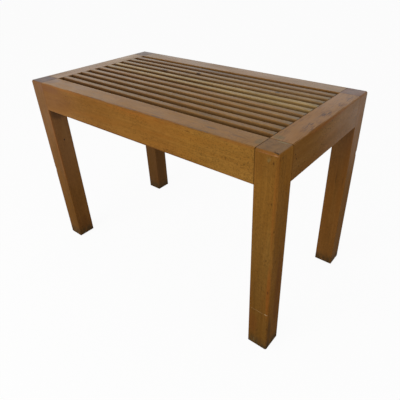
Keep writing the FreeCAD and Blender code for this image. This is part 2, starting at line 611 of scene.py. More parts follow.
class Value:
    """One output in a node tree, with the operators of plain numbers."""

    def __init__(self, tree, socket=None):
        self.tree = tree
        self.socket = socket

    def node(self, kind, settings=None, sockets=None, output=0):
        """Adds a node, sets its settings first, then its values or links, and gives an output."""
        made = self.tree.nodes.new(kind)
        for name, setting in (settings or {}).items():
            setattr(made, name, setting)
        for key, given in (sockets or {}).items():
            if isinstance(given, Value):
                self.tree.links.new(given.socket, made.inputs[key])
            else:
                made.inputs[key].default_value = given
        return Value(self.tree, made.outputs[output])

    def math(self, operation, *values):
        return self.node("ShaderNodeMath", {"operation": operation}, dict(enumerate(values)))

    def __add__(self, other):
        return self.math("ADD", self, other)

    def __sub__(self, other):
        return self.math("SUBTRACT", self, other)

    def __rsub__(self, other):
        return self.math("SUBTRACT", other, self)

    def __mul__(self, other):
        return self.math("MULTIPLY", self, other)

    def __pow__(self, other):
        return self.math("POWER", self, other)

    def __abs__(self):
        return self.math("ABSOLUTE", self)

    __radd__ = __add__
    __rmul__ = __mul__

    def ramp(self, start, end):
        """Rises smoothly from 0 at start to 1 at end, and start may be the larger."""
        limits = {"Value": self, "From Min": start, "From Max": end}
        return self.node("ShaderNodeMapRange", {"interpolation_type": "SMOOTHSTEP"}, limits)

    def least(self, other):
        return self.math("MINIMUM", self, other)

    def most(self, other):
        return self.math("MAXIMUM", self, other)


# %% [markdown]
# ## Colours
# Colours are easiest to think of as a screen shows them, from 0 to 255. Nodes work in linear
# light, so each is turned into that first. A Mix node lays one colour over another.

# %% Colours


def colour(red, green, blue):
    """A colour written as on a screen, 0 to 255, as the linear numbers that nodes use."""
    parts = [part / 255 for part in (red, green, blue)]
    bent = [part / 12.92 if part <= 0.04045 else ((part + 0.055) / 1.055) ** 2.4 for part in parts]
    return (*bent, 1)


def blend_colour(amount, under, over, mode="MIX"):
    """Lays a colour over another, or multiplies them, by an amount that may change."""
    settings = {"data_type": "RGBA", "blend_type": mode}
    return amount.node("ShaderNodeMix", settings, {0: amount, 6: under, 7: over}, output=2)


def lay(timber, amount, over, mode="MIX"):
    """Lays a colour over what a timber has so far, or multiplies the two."""
    timber.colour = blend_colour(amount, timber.colour, over, mode)


# %% [markdown]
# ## Where the wood is
# Every layer of the wood asks the same questions of a point: how far along the grain it is, how
# far across, how near an edge, and whether it faces up. They are answered once for each timber,
# in millimetres, from Object coordinates, so the grain runs right through the timber and comes
# out at its ends as end grain. A box's nearest edge is easy to find: of the distances to the
# three pairs of faces, the smallest is zero on the surface, and the next is the distance to the
# edge.

# %% Places in a timber
from types import SimpleNamespace

millimetres = 1000
up_from, up_fully = 0.65, 0.97


def look_at(node, grain, seed):
    """A new finish for a timber, with the values that its layers read."""
    material = bpy.data.materials.new(f"{node}_finish")
    material.use_nodes = True
    timber = SimpleNamespace(material=material, grain=grain, seed=seed)
    tree = Value(material.node_tree)
    objects = tree.node("ShaderNodeTexCoord", output="Object")
    normals = tree.node("ShaderNodeTexCoord", output="Normal")
    timber.place = tree.node(
        "ShaderNodeVectorMath", {"operation": "SCALE"}, {0: objects, "Scale": millimetres}
    )
    timber.axes, timber.facing = (
        [tree.node("ShaderNodeSeparateXYZ", {}, {0: vector}, axis) for axis in (X, Y, Z)]
        for vector in (timber.place, normals)
    )
    timber.low, timber.high = (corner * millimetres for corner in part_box(node))
    first, second, third = (
        (timber.axes[axis] - timber.low[axis]).least(timber.high[axis] - timber.axes[axis])
        for axis in (X, Y, Z)
    )
    timber.edge = first.least(second).most(first.most(second).least(third))
    timber.up = timber.facing[Z].ramp(up_from, up_fully)
    return timber


def along(timber, axis, start, end, first, last):
    """A value that goes from first to last between two places along an axis."""
    return timber.axes[axis].ramp(start, end) * (last - first) + first


# %% [markdown]
# ## Noise along the grain
# Almost everything in wood is drawn out along the grain. So one noise serves for all: it is
# stretched to lumps of a given length and width in millimetres, and shifted, so that no two
# layers and no two timbers get the same lumps. Patches are the part of a noise above a limit.

# %% Streaks and patches
seed_steps = (7.31, 3.17, 5.73)


def streaks(timber, long, short, detail, shift):
    """A noise drawn out along the grain: its lumps are about long by short millimetres."""
    steps = [1 / short] * 3
    steps[timber.grain] = 1 / long
    seeds = [timber.seed * step for step in seed_steps]
    seeds = (seeds[0] + shift, seeds[1] - shift, seeds[2])
    drawn = timber.place.node(
        "ShaderNodeVectorMath", {"operation": "MULTIPLY_ADD"}, {0: timber.place, 1: steps, 2: seeds}
    )
    return drawn.node("ShaderNodeTexNoise", {}, {"Vector": drawn, "Scale": 1, "Detail": detail})


def swing(noise):
    """A noise as what it is above or below its middle."""
    return noise - 0.5


def patches(timber, start, end, **noise):
    """Where a noise is high: 0 up to the start and 1 from the end."""
    return streaks(timber, **noise).ramp(start, end)


# %% [markdown]
# ## Grain
# A tree lays down rings, and a sawn board shows them as bands that follow its length, wide on a
# flat-sawn face and narrow on a quarter-sawn one. Here a ring is a distance from the tree's
# heart, a line along the grain outside the board, and a one-dimensional noise of that distance
# makes some rings darker than others. Finer streaks are the fibres and bundles of them, and slow
# lumps make a board drift from yellow to red along its length. A board is described by one
# colour, and its dark and pale shades lie to both sides of it.

# %% Grain
dark_hue = (1.0, 0.95, 0.86)
pale_hue = (1.0, 1.03, 1.1)
red_hue = (1.08, 0.9, 0.72)
red_strength = 0.95
shade_spread = 0.26
ring_noise = {"Scale": 1, "Detail": 3, "Roughness": 0.6}
ring_seed_step = 9.7
wander_noise = dict(long=300, short=80, detail=1, shift=11)
wander_reach = 14
fibre_noise = dict(long=45, short=0.9, detail=2, shift=0)
bundle_noise = dict(long=110, short=2.8, detail=2, shift=3)
mottle_noise = dict(long=9, short=5, detail=2, shift=7)
drift_noise = dict(long=210, short=34, detail=2, shift=5)
red_patches = dict(long=170, short=13, detail=2, shift=17, start=0.42, end=0.68)
grain_shares = SimpleNamespace(rings=0.55, bundles=0.8, fibres=0.6, mottle=0.75, drift=0.9)


def shade_of(tone, hue, strength):
    """A board's colour made darker or paler, with a change of hue."""
    parts = colour(*tone)[:3]
    return (*(part * change * strength for part, change in zip(parts, hue)), 1)


def ring_layer(timber, heart, ring_width):
    """The rings: a noise of the distance from the tree's heart."""
    wander = swing(streaks(timber, **wander_noise)) * wander_reach
    across = [axis for axis in (X, Y, Z) if axis != timber.grain]
    offsets = [
        timber.axes[axis] - (timber.low[axis] + timber.high[axis]) / 2 - away + wander
        for axis, away in zip(across, heart)
    ]
    distance = (offsets[0] * offsets[0] + offsets[1] * offsets[1]) ** 0.5
    rings = distance * (1 / ring_width) + timber.seed * ring_seed_step
    return rings.node("ShaderNodeTexNoise", {"noise_dimensions": "1D"}, {"W": rings, **ring_noise})


def grain_layer(timber, tone, heart, ring_width=3.2, redness=0.4, lines=1.0):
    """The wood itself. Lines is how clearly the rings and bundles of fibres show."""
    rings = swing(ring_layer(timber, heart, ring_width)) * grain_shares.rings
    bundles = swing(streaks(timber, **bundle_noise)) * grain_shares.bundles
    mottle = swing(streaks(timber, **mottle_noise)) * grain_shares.mottle
    drift = swing(streaks(timber, **drift_noise)) * grain_shares.drift
    timber.fibres = swing(streaks(timber, **fibre_noise))
    light = (rings + bundles) * lines + timber.fibres * grain_shares.fibres + mottle + drift + 0.5
    dark = shade_of(tone, dark_hue, 1 - shade_spread)
    pale = shade_of(tone, pale_hue, 1 + shade_spread)
    timber.colour = blend_colour(light, dark, pale)
    lay(timber, patches(timber, **red_patches) * redness, shade_of(tone, red_hue, red_strength))


# %% [markdown]
# ## Pores
# Open pores show as short dark dashes along the grain. They gather in patches, so one end of a
# board can look speckled and the other smooth. Between the dashes lie finer specks, which make
# the face look like wood and not like paint even from across the room.

# %% Pores
pore_colour = colour(52, 33, 17)
dash_patches = dict(long=4.5, short=1.3, detail=1, shift=23, start=0.58, end=0.72)
dash_groups = dict(long=130, short=30, detail=2, shift=31, start=0.4, end=0.62)
speck_patches = dict(long=2.8, short=1.7, detail=1, shift=29, start=0.5, end=0.74)
dot_patches = dict(long=3.4, short=2.2, detail=0, shift=33, start=0.6, end=0.71)


def pore_layer(timber, dashes, specks, dots=0.0):
    """Dashes in groups, fine specks and larger dots, by amounts that may change along a board."""
    dash = patches(timber, **dash_patches) * dashes * patches(timber, **dash_groups)
    speck = patches(timber, **speck_patches) * specks
    dot = patches(timber, **dot_patches) * dots
    timber.pores = dash.most(speck).most(dot)
    lay(timber, timber.pores, pore_colour)


# %% [markdown]
# ## End grain
# The top of a leg shows the wood end on. Its open ends drink more stain and dirt, so it is darker
# and greyer than the long sides, in blotches. A point belongs to it where the surface faces along
# the grain.

# %% End grain
end_dark = colour(60, 47, 42)
end_from, end_fully = 0.75, 0.97
blotch_patches = dict(long=12, short=12, detail=3, shift=37, start=0.42, end=0.72)


def end_layer(timber, tint, amount, blotched):
    """Greys the end grain, and darkens blotches of it."""
    end = abs(timber.facing[timber.grain]).ramp(end_from, end_fully)
    lay(timber, end * amount, colour(*tint))
    lay(timber, end * patches(timber, **blotch_patches) * blotched, end_dark)


# %% [markdown]
# ## Wear
# Hands and cloth polish the edges. The dark stain goes first, so an edge is more orange than the
# face next to it, in stretches and not all along. Some faces are made a little paler, darker or
# redder than the others by a tint. Where a tint makes a face paler that lies in shade under the
# seat, it is painted light.

# %% Edge wear
worn_colour = colour(136, 82, 34)
worn_patches = dict(long=55, short=16, detail=2, shift=41, start=0.3, end=0.6)
core = 0.4


def wear_layer(timber, amount, reach=4.5):
    """Orange along the edges, full in the core of its reach."""
    near_edge = timber.edge.ramp(reach, reach * core)
    lay(timber, near_edge * patches(timber, **worn_patches) * amount, worn_colour)


def towards(timber, axis, side, least=0.4, full=0.9):
    """1 on what faces along an axis, to its plus or minus side."""
    return (timber.facing[axis] * side).ramp(least, full)


def tint_face(timber, axis, side, change):
    """Multiplies the colour of one face."""
    lay(timber, towards(timber, axis, side), (*change, 1), "MULTIPLY")


# %% [markdown]
# ## Dirt and painted shade
# Dirt settles where no cloth reaches: in the seams round the joints, and on the feet, which stand
# on a swept and mopped floor. The flanks of the slats and the inner faces of the rails turn brown
# and dark below their top edges, which is painted shade with some dirt. Above the feet the legs
# grow slowly darker towards the floor, which is painted shade.

# %% Dirt and painted shade
# The brown and the dark of the flanks are painted shade, with some dirt.
flank_brown = colour(98, 66, 39)
flank_dirt_and_shade = colour(70, 51, 29)
brown_depths = (-0.2, 1.2)
dirt_and_shade_depths = (0.8, 5.0)
seam_dirt = colour(26, 26, 25)
seam_width = 2.1
foot_dirt = colour(64, 52, 32)
# Painted shade: the legs' colour is multiplied darker from this height down to the floor.
foot_painted_shade = (0.5, 0.47, 0.47, 1)
foot_dirt_heights = (34, 6)
foot_painted_shade_heights = (400, 0)
foot_patches = dict(long=12, short=9, detail=2, shift=61, start=0.3, end=0.62)
least_foot_dirt = 0.35


def flank_layer(timber, brown, dirt_and_shade, facing_part):
    """Turns a flank brown from its top edge downwards, and dark below: painted shade, with some dirt.
    """
    below = timber.high[Z] - timber.axes[Z]
    # Painted shade in the gap, with some dirt: brown from the top edge, dark lower down.
    lay(timber, below.ramp(*brown_depths) * facing_part * brown, flank_brown)
    lay(timber, below.ramp(*dirt_and_shade_depths) * facing_part * dirt_and_shade, flank_dirt_and_shade)


def seam_at(timber, axis, place, on_top, on_side, width=seam_width):
    """A dark line where timbers meet, of one strength on the seat and of another below it."""
    line = abs(timber.axes[axis] - place).ramp(width, width * core)
    rail_foot = front_low.z * millimetres
    beside_rail = timber.axes[Z].ramp(rail_foot - 1, rail_foot + 1)
    lay(timber, line * beside_rail * (on_side + timber.up * (on_top - on_side)), seam_dirt)


def foot_layer(timber, amount, shade):
    """Dirt on the foot of a leg, and above it a slow darkening towards the floor that is painted
    shade.
    """
    height = timber.axes[Z]
    # Painted shade, darker towards the floor.
    lay(timber, height.ramp(*foot_painted_shade_heights) * shade, foot_painted_shade, "MULTIPLY")
    patchy = least_foot_dirt + patches(timber, **foot_patches) * (1 - least_foot_dirt)
    lay(timber, height.ramp(*foot_dirt_heights) * patchy * amount, foot_dirt)


# %% [markdown]
# ## The seat
# What faces up collects dark flecks and grey smudges along the grain, and the sun and the cloth
# have bleached it.

# %% Seat
fleck_colour = colour(82, 60, 56)
smudge_colour = colour(98, 90, 70)
fleck_patches = dict(long=22, short=1.8, detail=2, shift=71, start=0.5, end=0.6)
fleck_groups = dict(long=50, short=14, detail=1, shift=73, start=0.35, end=0.55)
smudge_patches = dict(long=80, short=10, detail=2, shift=79, start=0.45, end=0.7)


def seat_layer(timber, flecks, smudges):
    """Flecks and smudges on what faces up."""
    dark = patches(timber, **fleck_patches) * patches(timber, **fleck_groups)
    lay(timber, dark * timber.up * flecks, fleck_colour)
    lay(timber, patches(timber, **smudge_patches) * timber.up * smudges, smudge_colour)


# %% [markdown]
# ## Marks
# A few marks tell this bench from its twin: knots, nail holes, a long scratch, a smear. Each is a
# soft ellipsoid of another colour at its own place in the timber, so it goes a little way into
# the wood as a real one does. A broken mark, such as a scratch that skipped, comes and goes along
# its length. A tint changes the hue round a place, and leaves the grain and the pores there. A
# few marks and tints are painted shade, and a few are painted light.

# %% Marks
broken_patches = dict(long=9, short=3, detail=2, shift=83, start=0.38, end=0.58)


def around(timber, place, reach):
    """1 at a place, falling to 0 at its reach along each axis, all in millimetres."""
    steps = [1 / part for part in reach]
    settled = [-spot * step for spot, step in zip(place, steps)]
    scaled = timber.place.node(
        "ShaderNodeVectorMath", {"operation": "MULTIPLY_ADD"}, {0: timber.place, 1: steps, 2: settled}
    )
    away = scaled.node("ShaderNodeVectorMath", {"operation": "LENGTH"}, {0: scaled}, "Value")
    return away.ramp(1.0, core)


def mark(timber, place, reach, tint, amount, broken=False):
    """Lays a colour over a place."""
    cover = around(timber, place, reach) * amount
    if broken:
        cover = cover * patches(timber, **broken_patches)
    lay(timber, cover, colour(*tint))


def tint_around(timber, place, reach, change):
    """Multiplies the colour round a place."""
    lay(timber, around(timber, place, reach), (*change, 1), "MULTIPLY")


# %% [markdown]
# ## Varnish
# The sides have a thin, rubbed-down finish. The tops have a satin coat, which shows the bright
# room at the low angle that the photograph has, and turns their brown a little grey. So the coat
# is weighted by how much the surface faces up. A small bump from fibres and pores breaks the
# reflection along the grain.

# %% Varnish
fibre_roughness, pore_roughness = 0.25, 0.2
fibre_height = 0.35
bump = {"Strength": 0.35, "Distance": 0.0003}
rubbed_patches = dict(long=90, short=30, detail=2, shift=53, start=0.3, end=0.65)
least_coat = 0.7
plain_sockets = {"Specular IOR Level": 0, "Coat Roughness": 0.3, "Coat IOR": 1.5}


def varnish(timber, coat, sides, roughness=0.5):
    """Gives the finish its gloss, with one weight of the coat on top and another at the sides."""
    rough = roughness + timber.fibres * fibre_roughness + timber.pores * pore_roughness
    height = timber.fibres * fibre_height - timber.pores
    whole = least_coat + patches(timber, **rubbed_patches) * (1 - least_coat)
    links = {
        "Base Color": timber.colour,
        "Roughness": rough,
        "Normal": height.node("ShaderNodeBump", {}, {**bump, "Height": height}),
        "Coat Weight": (sides + timber.up * (coat - sides)) * whole,
    }
    tree = timber.material.node_tree
    shader = tree.nodes["Principled BSDF"]
    for name, number in plain_sockets.items():
        shader.inputs[name].default_value = number
    for name, value in links.items():
        tree.links.new(value.socket, shader.inputs[name])


def give(piece, material):
    """The finish becomes the only one on a piece."""
    piece.data.materials.clear()
    piece.data.materials.append(material)


# %% [markdown]
# ## Legs' boards
# No two boards are from the same place in the tree. Each timber gets its own finish, with its own
# colour. The varnish of the legs is rubbed off towards the feet, by shoes and mops, and keeps its
# haze from some height up to the seat. The seams are given for the joint with the long rail and
# for the one with the end rail, each with its strength on top and at the side.

# %% Legs' boards
leg_boards = {
    "front_left_leg": dict(
        tone=(122, 82, 38), heart=(30, 44), red=0.25, shade=0.36, specks=0.12,
        haze_from=80, haze=(0.06, 0.33), coat=0.66, seams=((0.15, 0.2), (0.15, 0.1)),
        end=dict(tint=(98, 69, 62), amount=0.75, blotched=0.8),
    ),
    "front_right_leg": dict(
        tone=(128, 88, 35), heart=(39, 38), red=0.3, shade=0.56, specks=0.3,
        haze_from=250, haze=(0.04, 0.03), coat=0.34, seams=((0.95, 0.36), (0.12, 0.2)),
        end=dict(tint=(140, 106, 68), amount=0.85, blotched=0.3),
    ),
    "back_right_leg": dict(
        tone=(129, 85, 36), heart=(48, 32), red=0.4, shade=0.3, specks=0.1,
        haze_from=210, haze=(0.06, 0.44), coat=0.75, seams=((0.85, 0.4), (0.2, 0.2)),
        end=dict(tint=(114, 79, 66), amount=0.75, blotched=0.4),
    ),
    "back_left_leg": dict(
        tone=(110, 74, 35), heart=(57, 26), red=0.3, shade=0.3, specks=0.1,
        haze_from=200, haze=(0.1, 0.15), coat=0.8, seams=((0.15, 0.2), (0.15, 0.2)),
        end=dict(tint=(92, 66, 50), amount=0.75, blotched=0.45),
    ),
}
face_tints = {
    # Painted light: the inner face of the front left leg and the front face of the back right leg lie
    # in shade under the seat, and are made paler. The other face tints change the hue and depth of
    # the colour.
    "front_left_leg": [(X, 1, (1.22, 1.2, 1.2))],
    "front_right_leg": [(X, 1, (1.1, 1.04, 1.0))],
    "back_right_leg": [(Y, -1, (1.1, 1.12, 1.2)), (X, 1, (0.91, 0.96, 1.0))],
    "back_rail": [(Y, 1, (0.84, 0.74, 0.5))],
    "left_end_rail": [(X, -1, (0.84, 0.74, 0.5))],
}
place_tints = {
    "front_left_leg": [
        ((-316, -182, 180), (50, 6, 220), (0.97, 0.95, 0.8)),
        # On the inner face of the front left leg, painted light makes the middle paler, and painted
        # shade makes the foot darker.
        ((-294, -160, 310), (6, 50, 110), (1.04, 1.12, 1.45)),
        ((-294, -160, 15), (6, 50, 60), (0.84, 0.82, 0.85)),
    ],
    "front_right_leg": [
        ((314, -182, 225), (50, 8, 130), (1.03, 1.08, 1.2)),
        ((314, -182, 440), (50, 6, 50), (0.9, 0.88, 0.92)),
        ((338, -160, 300), (6, 50, 110), (0.93, 0.95, 0.98)),
    ],
    "front_rail": [
        ((240, -182, 417), (160, 8, 100), (1.02, 1.07, 0.99)),
        ((-115, -182, 417), (110, 8, 100), (0.92, 0.91, 0.95)),
        ((100, -182, 417), (110, 8, 100), (1.07, 1.05, 1.0)),
    ],
    "back_rail": [
        ((240, 160, 450), (110, 60, 6), (1.0, 0.98, 0.86)),
        ((-270, 160, 450), (60, 60, 6), (0.9, 0.95, 0.98)),
    ],
}
print("boards for legs:", len(leg_boards))

# %% [markdown]
# ## Marks on the legs
# The front left leg has a nail hole and a dirty top, and on its inner face a painted shadow under
# the rail and painted light that makes the middle paler. The front right leg has the most to tell:
# a splintered top edge, dashes of dark grain and a long scratch near its foot. The back right leg
# has two fine cracks. Each row gives the place of a mark, its reach, its colour and its strength.

# %% Marks on the legs
hole_tint = (26, 26, 28)
dash_tint = (62, 38, 18)
crack_tint = (66, 42, 24)
scratch_tint = (178, 148, 106)
marks = {
    "front_left_leg": [
        ((-294, -160.4, 298.9), (4, 2.5, 3.4), hole_tint, 1.0),
        # On the inner face: a painted shadow under the rail, then painted light that makes the middle
        # paler.
        ((-294, -160, 372), (4, 30, 22), (52, 32, 18), 0.5),
        ((-294, -160, 225), (6, 30, 95), (132, 90, 50), 0.35),
        ((-296, -180, 300), (5, 4, 190), (140, 84, 36), 0.35),
        ((-303, -182, 440), (16, 4, 18), (118, 76, 52), 0.35),
        ((-330, -170, 450), (9, 10, 3), (58, 50, 52), 0.5),
        ((-319, -150, 450), (10, 8, 3), (74, 64, 70), 0.4),
    ],
    "front_right_leg": [
        ((334, -182, 160), (5, 4, 90), (138, 76, 26), 0.5),
        ((334, -182, 340), (3, 4, 110), (136, 78, 28), 0.3),
        ((303, -182, 62), (16, 3, 42), (112, 62, 26), 0.35),
        ((338, -152, 150), (3, 14, 130), (96, 52, 24), 0.4),
        ((338, -175, 45), (3, 9, 60), (48, 38, 24), 0.4),
        ((301, -182, 101.8), (11, 2, 0.7), scratch_tint, 0.55, True),
        ((317, -182, 102.4), (13, 2, 0.7), scratch_tint, 0.5),
        ((333, -182, 103.1), (6, 2, 0.8), (206, 180, 140), 0.75),
        ((316, -182, 449), (26, 3.5, 4.5), (142, 90, 42), 0.42),
        ((316, -182, 446), (24, 3, 1.2), (160, 108, 74), 0.5, True),
        ((332, -181, 446.5), (6, 3, 1.6), (176, 130, 92), 0.55),
        ((321, -141, 450), (16, 2.6, 2), (142, 130, 94), 0.6),
        ((331, -178.9, 449.5), (6, 1.4, 2), (34, 36, 36), 0.9),
        ((320.2, -182, 436.8), (5, 2, 7), (132, 116, 74), 0.4, True),
        ((328.9, -182, 433), (1.3, 2, 4), dash_tint, 0.8),
        ((330.1, -182, 359.6), (1.1, 2, 5), dash_tint, 0.8),
        ((336.8, -181, 307), (1.4, 3, 4), dash_tint, 0.6),
        ((325.3, -182, 238.5), (1.3, 2, 3), dash_tint, 0.7),
        ((338, -168.8, 233.8), (2, 1.2, 7), dash_tint, 0.6),
        ((333.4, -182, 163.6), (1.6, 2, 6), dash_tint, 0.7),
        ((335.7, -181, 62.9), (1.6, 3, 4), dash_tint, 0.6),
        ((308, -182, 12), (12, 2, 8), (122, 104, 70), 0.4, True),
    ],
    "back_right_leg": [
        ((315.8, 138, 250), (1.3, 3, 24), crack_tint, 0.5),
        ((332, 138, 247), (1.3, 3, 20), crack_tint, 0.4),
    ],
}
print("marks on legs:", sum(len(rows) for rows in marks.values()))

# %% [markdown]
# ## Legs' finish
# Now the layers go on, each over the one before: wood, pores, tints, end grain, wear, dirt with
# painted shade towards the feet, seams and marks. A few tints and marks are painted light, and a
# few painted shade. The varnish comes last, because its gloss lies over all of them.

# %% Legs' finish


def tint_all(timber, node):
    """The tints of a timber's faces and places."""
    for given in face_tints.get(node, []):
        tint_face(timber, *given)
    for given in place_tints.get(node, []):
        tint_around(timber, *given)


def mark_all(timber, node):
    for given in marks.get(node, []):
        mark(timber, *given)


first_leg_seed = 1
for seed, (node, board) in enumerate(leg_boards.items(), first_leg_seed):
    timber = look_at(node, Z, seed)
    grain_layer(timber, board["tone"], board["heart"], redness=board["red"], lines=0.8)
    pore_layer(timber, dashes=0.5, specks=board["specks"])
    tint_all(timber, node)
    end_layer(timber, **board["end"])
    wear_layer(timber, amount=0.16, reach=6.0)
    seat_layer(timber, flecks=0.4, smudges=0.15)
    # Dirt on the feet, and painted shade that darkens the legs towards the floor.
    foot_layer(timber, amount=0.8, shade=board["shade"])
    corner = (-1 if "left" in node else 1, -1 if "front" in node else 1)
    for axis, clear in ((X, clear_length), (Y, clear_depth)):
        seam_at(timber, axis, corner[axis] * clear / 2 * millimetres, *board["seams"][axis])
    mark_all(timber, node)
    haze = along(timber, Z, board["haze_from"], timber.high[Z], *board["haze"])
    varnish(timber, board["coat"], haze)
    give(timbers[node], timber.material)
print("legs finished:", len(leg_boards))

# %% [markdown]
# ## Rails' boards
# The front rail is speckled towards its right end, and reddish at its left. The varnish of the
# right end rail is rubbed off near the front, where a hand takes hold to lift the bench, and
# keeps its haze towards the back. The tops of both are bleached. What changes along a rail is
# given as an axis, two places on it, and the values there.

# %% Rails' boards
rail_boards = {
    "front_rail": dict(
        tone=(139, 95, 41), heart=(-70, 24), red=0.35, lines=0.7,
        specks=(X, -20, 230, 0.1, 0.3), dots=(X, -20, 230, 0.0, 0.4), flecks=0.3, smudges=0.15,
        bleach=0.36, bleached=(180, 138, 86), inner=(Y, 1), shade_and_dirt=0.6,
        coat=(X, 120, -290, 0.47, 0.69), haze=(X, -40, -290, 0.04, 0.24),
    ),
    "back_rail": dict(
        tone=(150, 112, 66), heart=(-70, 32), red=0.3, lines=0.8,
        flecks=0.2, smudges=0.2, inner=(Y, -1), shade_and_dirt=0.35, coat=(X, -290, 290, 0.85, 0.85),
    ),
    "left_end_rail": dict(
        tone=(150, 110, 62), heart=(-70, 40), red=0.3, lines=0.8,
        flecks=0.2, smudges=0.2, inner=(X, 1), shade_and_dirt=0.6, coat=(Y, -130, 130, 0.84, 1.0),
    ),
    "right_end_rail": dict(
        tone=(125, 86, 41), heart=(-70, 48), red=0.3, lines=0.8, flecks=0.4, smudges=0.1,
        bleach=0.52, bleached=(178, 131, 83), inner=(X, -1), shade_and_dirt=0.6,
        coat=(Y, -120, 130, 0.4, 0.6), haze=(Y, -110, 150, 0.02, 0.42),
    ),
}
plain_specks = (X, -290, 290, 0.1, 0.1)
no_dots = (X, -290, 290, 0.0, 0.0)
plain_haze = (X, -290, 290, 0.05, 0.05)
print("boards for rails:", len(rail_boards))

# %% [markdown]
# ## Marks on the rails
# The front rail's top edge is worn orange in stretches, and all along it a darker band is painted
# shade, which takes the light off the round. Its top has grey smears. The right end rail has two
# nail holes near the front, and dark flecks in four places on its top.

# %% Marks on the rails
edge_orange = (142, 88, 38)
nail_tint = (30, 20, 12)
marks.update({
    "front_rail": [
        ((-262, -182, 420), (110, 4, 44), (106, 64, 34), 0.45),
        ((-270, -182, 442), (62, 4, 15), (112, 70, 42), 0.4),
        ((-286, -160, 450), (28, 22, 3), (112, 90, 82), 0.5),
        ((-190, -181, 447), (110, 4, 3), edge_orange, 0.45),
        ((255, -181, 447), (48, 4, 3.5), edge_orange, 0.35),
        ((120, -181.5, 444), (60, 3, 3), (132, 80, 30), 0.4, True),
        # A darker band all along the rounded top edge is painted shade, which takes the highlight off
        # it.
        ((60, -180.5, 449.5), (330, 6, 3), (106, 66, 34), 0.4),
        ((0, -181.8, 445), (130, 3, 3), (152, 88, 34), 0.45, True),
        ((-105, -178.5, 450), (34, 2.2, 2), (78, 62, 54), 0.6, True),
        ((0, -178, 450), (55, 2.5, 2), (86, 76, 72), 0.6, True),
        ((78, -178.5, 450), (45, 2.2, 2), (80, 72, 68), 0.6, True),
        ((178, -179, 450), (48, 2.2, 2), (84, 82, 78), 0.6, True),
        ((193, -161, 450), (18, 4, 2), (82, 78, 74), 0.5),
        ((168, -142.8, 450), (16, 3, 2), (92, 86, 80), 0.4),
        ((250.5, -162.8, 450), (22, 3, 2), (84, 72, 64), 0.45),
        ((71.8, -168.7, 450), (26, 4, 2), (100, 88, 82), 0.35),
        ((288, -160, 450), (9, 14, 2), (96, 92, 70), 0.4),
        ((157.6, -182, 441.8), (9, 2, 1.2), (84, 46, 18), 0.7),
        ((0, -182, 385.5), (300, 3, 2.2), (92, 54, 26), 0.6),
    ],
    "left_end_rail": [((-316, 90, 450), (24, 130, 3), (178, 142, 88), 0.3)],
    "right_end_rail": [
        ((338, -130.7, 430.1), (2, 1.6, 1.5), nail_tint, 0.95),
        ((338, -126.7, 420.7), (2, 2.2, 1.8), nail_tint, 0.95),
        ((336.5, 0, 446), (4, 140, 4), (132, 76, 32), 0.4),
        ((305, -128, 450), (13, 11, 3), (112, 102, 68), 0.5),
    ],
})
fleck_places = {
    "right_end_rail": [
        ((326, -58, 450), (13, 46, 3)),
        ((322, 10, 450), (13, 28, 3)),
        ((325, 73, 450), (8, 18, 3)),
        ((327, 114, 450), (10, 26, 3)),
    ],
}
print("timbers with marks:", list(marks))

# %% [markdown]
# ## Rails' finish
# The same layers serve the rails. The bleaching goes under the flecks and the smudges, and the
# inner faces are darkened like the flanks of the slats, as painted shade with some dirt.

# %% Rails' finish
cluster_patches = dict(long=18, short=1.2, detail=2, shift=91, start=0.46, end=0.6)
cluster_strength = 0.85
inner_from, inner_fully = 0.2, 0.6
first_rail_seed = 11

for seed, (node, board) in enumerate(rail_boards.items(), first_rail_seed):
    timber = look_at(node, Y if "end" in node else X, seed)
    grain_layer(timber, board["tone"], board["heart"], redness=board["red"], lines=board["lines"])
    specks = along(timber, *board.get("specks", plain_specks))
    pore_layer(timber, dashes=0.85, specks=specks, dots=along(timber, *board.get("dots", no_dots)))
    tint_all(timber, node)
    wear_layer(timber, amount=0.15)
    if "bleach" in board:
        lay(timber, timber.up * board["bleach"], colour(*board["bleached"]))
    seat_layer(timber, board["flecks"], board["smudges"])
    for place in fleck_places.get(node, []):
        cluster = patches(timber, **cluster_patches) * around(timber, *place)
        lay(timber, cluster * cluster_strength, fleck_colour)
    # The inner face is darkened like a slat's flank: painted shade with some dirt.
    inner = towards(timber, *board["inner"], inner_from, inner_fully)
    flank_layer(timber, board["shade_and_dirt"], board["shade_and_dirt"], inner)
    mark_all(timber, node)
    haze = along(timber, *board.get("haze", plain_haze))
    varnish(timber, along(timber, *board["coat"]), haze)
    give(timbers[node], timber.material)
print("rails finished:", len(rail_boards))

# %% [markdown]
# ## Slats' finish
# The slats were sawn from several boards, so straw-coloured, brown and plum-brown ones lie side
# by side. Their flanks are turned brown and dark below the top edge, as painted shade in the gaps
# with some dirt, more so at the left, and on two pale slats as far as the middle. Dirt also fills
# the seam where their ends meet the end rails. Towards the left end, where nobody sits, more of
# the varnish is left, and it shines more.

